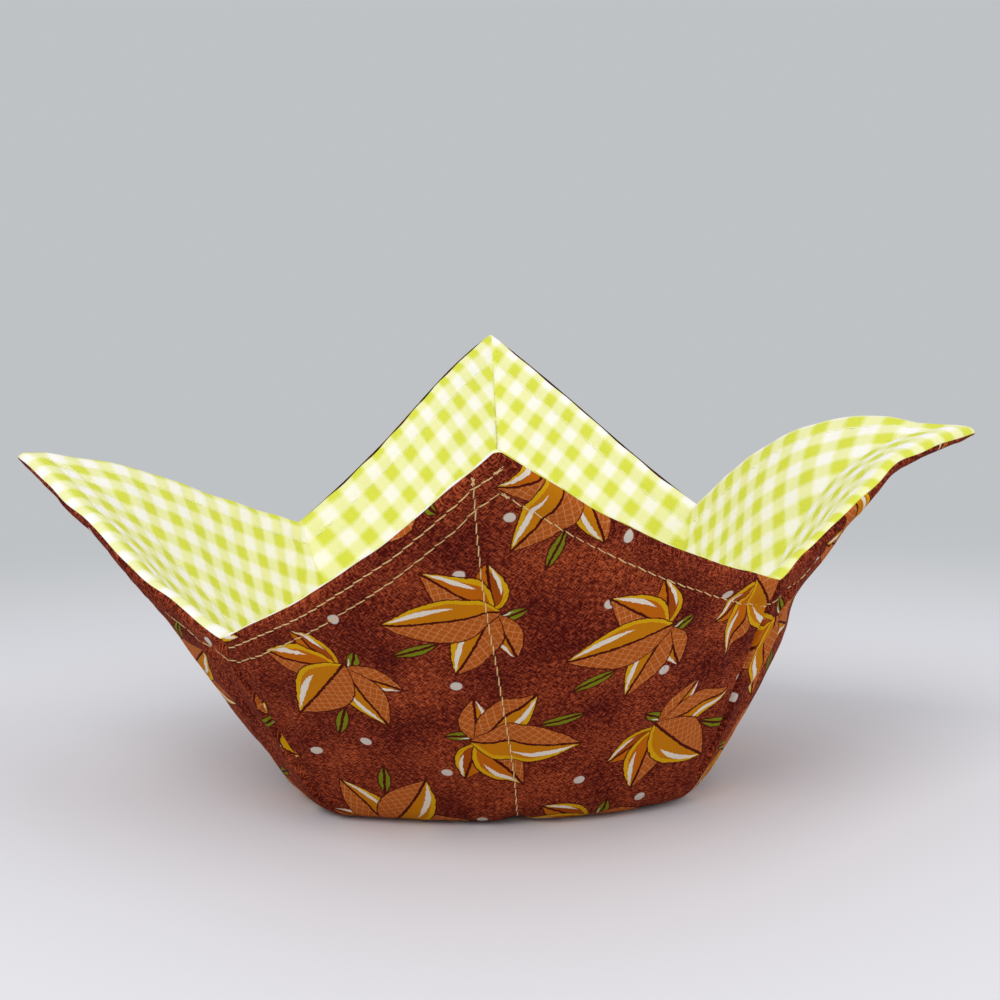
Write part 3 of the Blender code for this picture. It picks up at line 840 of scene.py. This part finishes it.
def add_stitch(row, start, end, up):
    """One stitch from needle hole to needle hole: a thread with blunt ends, which dip into the cloth."""
    middle = (start + end) / 2 + up * THREAD_LIFT
    along = (end - start) / 2
    across = along.cross(up).normalized() * THREAD_WIDTH / 2
    down = along.cross(across).normalized() * THREAD_HEIGHT / 2
    shape = Matrix((across, down, along)).transposed().to_4x4()
    shape.translation = middle
    stitch = bmesh.new()
    bmesh.ops.create_uvsphere(stitch, u_segments=8, v_segments=8, radius=1.0, matrix=shape)
    for vert in stitch.verts:
        reach = (vert.co - middle).dot(along) / along.length_squared
        blunt = math.copysign(abs(reach) ** THREAD_BLUNTNESS, reach)
        vert.co += along * (blunt - reach) - up * THREAD_DIP * blunt ** 4
        vert.co.z = max(vert.co.z, 0.0)
    stitch.to_mesh(one_stitch)
    stitch.free()
    row.from_mesh(one_stitch)


def along_route(route, reach, distance):
    """Square coordinates at these distances along a route."""
    return np.interp(distance, reach, route[:, 0]), np.interp(distance, reach, route[:, 1])


def sewn_row(name, route, side, seed):
    """Stitches at an even pitch along a route of square coordinates, each a little out of line."""
    route = np.array(route)
    flat_a, flat_b = cut_flat(route[:, 0], route[:, 1])
    steps = np.hypot(np.diff(flat_a), np.diff(flat_b))
    reach = np.concatenate([[0], np.cumsum(steps)])
    count = int(reach[-1] // STITCH_PITCH)
    draw = np.random.default_rng(seed)
    starts = np.arange(count) * reach[-1] / count + draw.uniform(-PITCH_ERROR, PITCH_ERROR, count)
    ends = starts + STITCH_SPAN
    slant = draw.uniform(-SIDE_ERROR, SIDE_ERROR, count)
    holes = []
    for distance, aside in ((starts, slant - STITCH_SLANT / 2), (ends, slant + STITCH_SLANT / 2)):
        place, up = on_cloth(*along_route(route, reach, distance), side, THREAD_SEAT[side])
        ahead = on_cloth(*along_route(route, reach, distance + ROUTE_NUDGE), side, 0.0)[0]
        behind = on_cloth(*along_route(route, reach, distance - ROUTE_NUDGE), side, 0.0)[0]
        across = np.cross(ahead - behind, up)
        across /= np.linalg.norm(across, axis=-1, keepdims=True)
        holes.append(place + across * aside[:, None])
    start_holes, end_holes = holes
    # The way up at a stitch's end serves for the whole stitch
    row = bmesh.new()
    for start, end, end_up in zip(start_holes, end_holes, up):
        add_stitch(row, Vector(start), Vector(end), Vector(end_up))
    # The first stitch is locked by two more sewn back over it
    lock_up = Vector(up[0])
    for turn in LOCK_TURNS:
        back = Matrix.Rotation(turn, 3, lock_up)
        middle = Vector(start_holes[0] + end_holes[0]) / 2 + lock_up * THREAD_LIFT * LOCK_LIFT
        half = back @ Vector(end_holes[0] - start_holes[0]) / 2 * LOCK_LENGTH
        add_stitch(row, middle - half, middle + half, lock_up)
    mesh = bpy.data.meshes.new(name)
    row.to_mesh(mesh)
    row.free()
    mesh.shade_smooth()
    return put_in_scene(name, mesh)


def finish_row(piece, node_name, side):
    piece.data.materials.append(outer_thread if side > 0 else lining_thread)
    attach(piece, "root")
    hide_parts(node_name)


# Topstitching: one row round the whole edge, sewn through all the layers once the cozy is turned right side
# out. It holds the turned edge flat, and its needle thread shows outside and its bobbin thread inside.
ROUTE_POINTS = 160
inset = HALF - TOPSTITCH_INSET
corners = ((-1, -1), (1, -1), (1, 1), (-1, 1), (-1, -1))
topstitch_route = []
for (a0, b0), (a1, b1) in zip(corners, corners[1:]):
    for i in range(ROUTE_POINTS):
        a = inset * (a0 + (a1 - a0) * i / ROUTE_POINTS)
        b = inset * (b0 + (b1 - b0) * i / ROUTE_POINTS)
        topstitch_route.append((a, b))
topstitch_route.append(topstitch_route[0])
for face, side in FACES:
    finish_row(sewn_row(face + "_topstitching", topstitch_route, side, 11 + side), face + "_topstitch", side)

# The closing row: a second, short row close to the front flap's left edge, sewn through all the layers. It
# shuts the gap that the cozy was turned through.
CLOSING_START = 0.0014      # from the front corner
CLOSING_LENGTH = HALF - 0.0030      # to just short of the left dart
closing_route = [(-HALF + CLOSING_INSET, -HALF + CLOSING_START + CLOSING_LENGTH * i / ROUTE_POINTS)
                 for i in range(ROUTE_POINTS + 1)]
for face, side in FACES:
    finish_row(sewn_row(face + "_closing_row", closing_route, side, 31 + side),
               face + "_closing_stitch", side)

# Quilting: two rows from corner to corner of each square, sewn through the fabric and its batting before the
# squares are joined.
QUILT_START = 0.0068        # from a row's first corner
QUILT_END = 0.006           # and from its last one
quilt_length = 2 * CORNER_REACH - QUILT_START - QUILT_END
front_to_back_route = []
left_to_right_route = []
for i in range(2 * ROUTE_POINTS + 1):
    t = QUILT_START + quilt_length * i / (2 * ROUTE_POINTS)
    x = -row_aside(t)
    y = t - CORNER_REACH
    front_to_back_route.append(((y + x) / math.sqrt(2), (y - x) / math.sqrt(2)))
    left_to_right_route.append((y / math.sqrt(2), -y / math.sqrt(2)))
for face, side in FACES:
    finish_row(sewn_row(face + "_quilting_front_back", front_to_back_route, side, 51 + side),
               face + "_quilting_front_to_back", side)
    finish_row(sewn_row(face + "_quilting_left_right", left_to_right_route, side, 71 + side),
               face + "_quilting_left_to_right", side)

# The floor: a plain sheet of pale paper under the object. Further out the camera sees the backdrop in its
# place, while the light on the object stays that of the paper and the sky.
FLOOR_SIZE = 8.0
BACKDROP = linear("#bfc2c5")
FLOOR_FADE = (0.24, 0.62)   # the paper turns to backdrop between these distances
FADE_AHEAD = 0.10           # from a point this far in front of the object
sheet = bmesh.new()
bmesh.ops.create_grid(sheet, x_segments=1, y_segments=1, size=FLOOR_SIZE / 2)
floor_mesh = bpy.data.meshes.new("floor")
sheet.to_mesh(floor_mesh)
sheet.free()
floor = put_in_scene("floor", floor_mesh)
floor_finish, paper = new_finish("pale_paper")


def seen_by_eye(tree):
    """1 for what the camera sees, also in gloss and through glass, and 0 for the light on the object."""
    rays = node(tree, "ShaderNodeLightPath").outputs
    seen = node(tree, "ShaderNodeMath", (rays["Is Camera Ray"], rays["Is Glossy Ray"]), operation="MAXIMUM")
    return node(tree, "ShaderNodeMath", (seen, rays["Is Transmission Ray"]), operation="MAXIMUM")


floor_place = node(paper, "ShaderNodeTexCoord").outputs["Object"]
off_point = node(paper, "ShaderNodeVectorMath", (floor_place, (0.0, FADE_AHEAD, 0.0)), operation="ADD")
far = node(paper, "ShaderNodeVectorMath", (off_point,), operation="LENGTH").outputs["Value"]
fade = node(paper, "ShaderNodeMapRange",
            {"Value": far, "From Min": FLOOR_FADE[0], "From Max": FLOOR_FADE[1]},
            interpolation_type="SMOOTHSTEP")
fade = node(paper, "ShaderNodeMath", (fade, seen_by_eye(paper)), operation="MULTIPLY")
matt = node(paper, "ShaderNodeBsdfPrincipled", {"Base Color": linear("#e8e8ec"), "Roughness": 0.7,
                                                "Specular IOR Level": 0.2})
distant = node(paper, "ShaderNodeEmission", {"Color": BACKDROP})
paper_surface = node(paper, "ShaderNodeMixShader", (fade, matt, distant))
node(paper, "ShaderNodeOutputMaterial", (paper_surface,))
floor_mesh.materials.append(floor_finish)

# Soft studio light: a big lamp above and in front on the left, a weaker one on the right, and an even sky
LAMPS = (("key", (-0.45, -0.85, 1.05), 0.9, 8.5), ("fill", (0.9, -0.55, 0.6), 0.8, 3.0))
LAMPS_AIM = (0, 0, 0.05)
for name, place, size, power in LAMPS:
    lamp = bpy.data.lights.new(name, "AREA")
    lamp.size = size
    lamp.energy = power
    stand = put_in_scene(name, lamp)
    stand.location = place
    stand.rotation_euler = (Vector(LAMPS_AIM) - Vector(place)).to_track_quat("-Z", "Y").to_euler()
world = bpy.data.worlds.new("studio")
bpy.context.scene.world = world
world.use_nodes = True
sky = world.node_tree
sky.nodes.clear()
lighting = node(sky, "ShaderNodeBackground", {"Color": linear("#f6f7fa"), "Strength": 0.64})
backdrop = node(sky, "ShaderNodeBackground", {"Color": BACKDROP, "Strength": 1.0})
both = node(sky, "ShaderNodeMixShader", (seen_by_eye(sky), lighting, backdrop))
node(sky, "ShaderNodeOutputWorld", (both,))
bpy.context.scene.view_settings.view_transform = "Standard"

# The camera stands a little above the flaps' tips and looks slightly down, as in the photograph
CAMERA_PLACE = (-0.0085, -0.4431, 0.1254)
CAMERA_HEADING = 1.26       # degrees to the right of the back
CAMERA_PITCH = 6.69         # degrees down
CAMERA_ROLL = -1.01
lens = bpy.data.cameras.new("camera")
lens.lens = 61.2
lens.sensor_width = 36.0
lens.clip_start = 0.01
camera = put_in_scene("camera", lens)
heading = Matrix.Rotation(math.radians(-CAMERA_HEADING), 4, "Z")
pitch = Matrix.Rotation(math.radians(90 - CAMERA_PITCH), 4, "X")
roll = Matrix.Rotation(math.radians(CAMERA_ROLL), 4, "Z")
camera.matrix_world = Matrix.Translation(CAMERA_PLACE) @ (heading @ pitch @ roll)
bpy.context.scene.camera = camera
